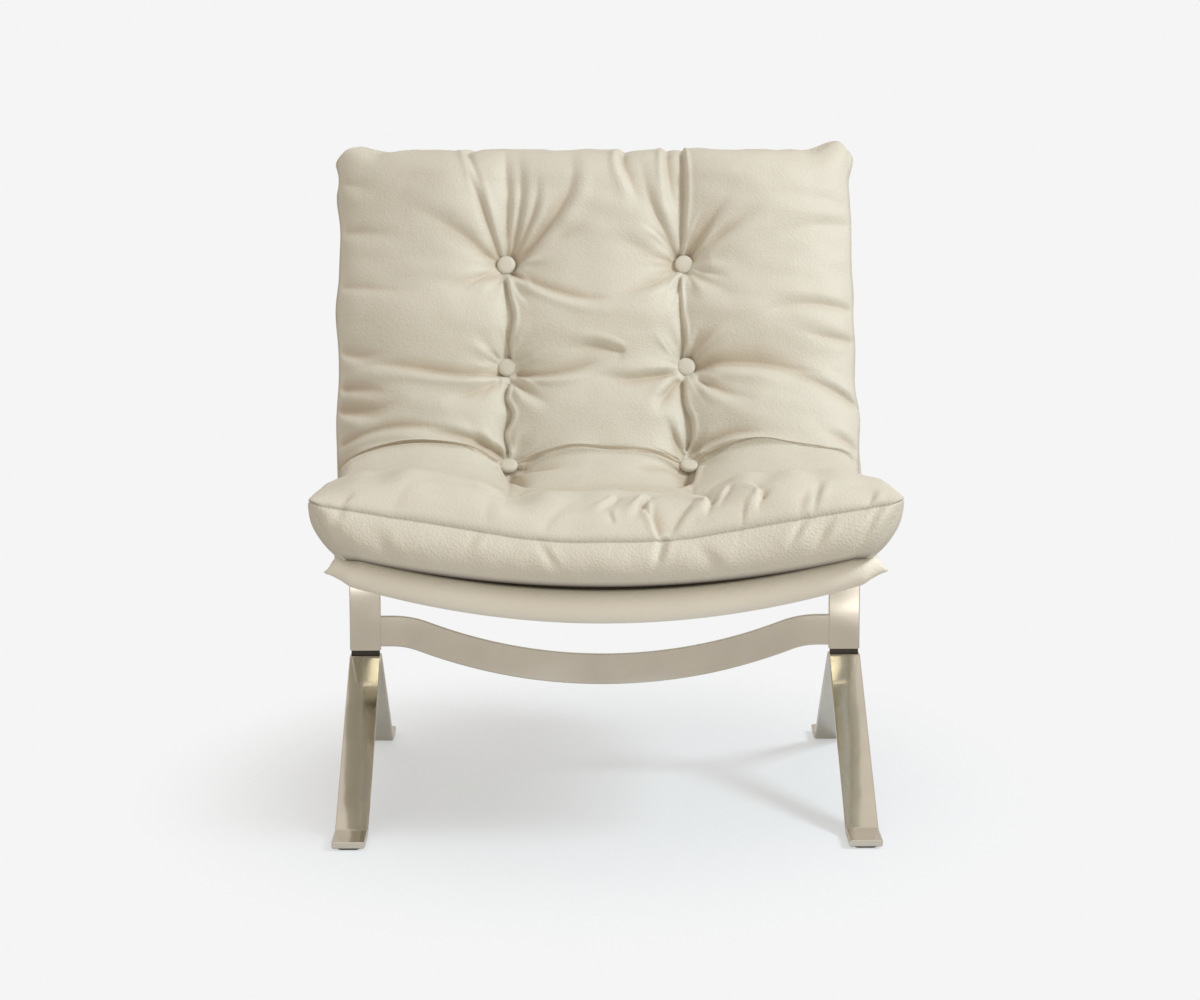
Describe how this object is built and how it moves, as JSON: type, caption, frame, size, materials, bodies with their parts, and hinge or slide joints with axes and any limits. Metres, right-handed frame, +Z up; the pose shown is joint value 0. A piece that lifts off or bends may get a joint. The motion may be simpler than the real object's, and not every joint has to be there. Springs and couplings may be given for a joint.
{
  "type": "lounge chair",
  "caption": "Armless lounge chair with one long button-tufted leather pad on a leather sling, carried by splayed flat-bar steel legs, posts and a curved stretcher.",
  "frame": {"origin": "on the floor, under the middle of the chair's bounding box", "axes": "+Z up, -Y the way a sitter faces, +X to the viewer's right when the chair is seen from the front"},
  "size_m": [0.702, 0.746, 0.8087],
  "materials": {
    "polished_steel": "mirror polished, warm",
    "dark_steel": "dark, unpolished",
    "screw_steel": "satin",
    "rubber": "matt",
    "pad_leather": "soft cream leather with a fine pebble grain",
    "sling_leather": "cream leather, a little smoother",
    "button_leather": "leather stretched over buttons",
    "twine": "waxed",
    "washer_plastic": "matt",
    "foam": "open-cell foam"
  },
  "bodies": {
    "root": {"back_button_ties": "twine", "back_button_washers": "washer_plastic", "back_buttons": "button_leather", "back_pad": "pad_leather", "back_pad_core": "foam", "back_top_rod": "polished_steel", "crease_button_ties": "twine", "crease_button_washers": "washer_plastic", "crease_buttons": "button_leather", "crease_rod": "polished_steel", "foot_screws": "screw_steel", "front_left_foot_pad": "rubber", "front_right_foot_pad": "rubber", "front_stretcher": "polished_steel", "left_leg_bar": "polished_steel", "left_leg_neck": "dark_steel", "left_post": "polished_steel", "left_side_bar": "polished_steel", "leg_neck_screws": "screw_steel", "post_screws": "screw_steel", "rear_left_foot_pad": "rubber", "rear_right_foot_pad": "rubber", "right_leg_bar": "polished_steel", "right_leg_neck": "dark_steel", "right_post": "polished_steel", "right_side_bar": "polished_steel", "seat_button_ties": "twine", "seat_button_washers": "washer_plastic", "seat_buttons": "button_leather", "seat_front_rod": "polished_steel", "seat_pad": "pad_leather", "seat_pad_core": "foam", "sling_back_panel": "sling_leather", "sling_front_roll": "sling_leather", "sling_seat_panel": "sling_leather", "sling_top_hem": "sling_leather"}
  },
  "joints": []
}
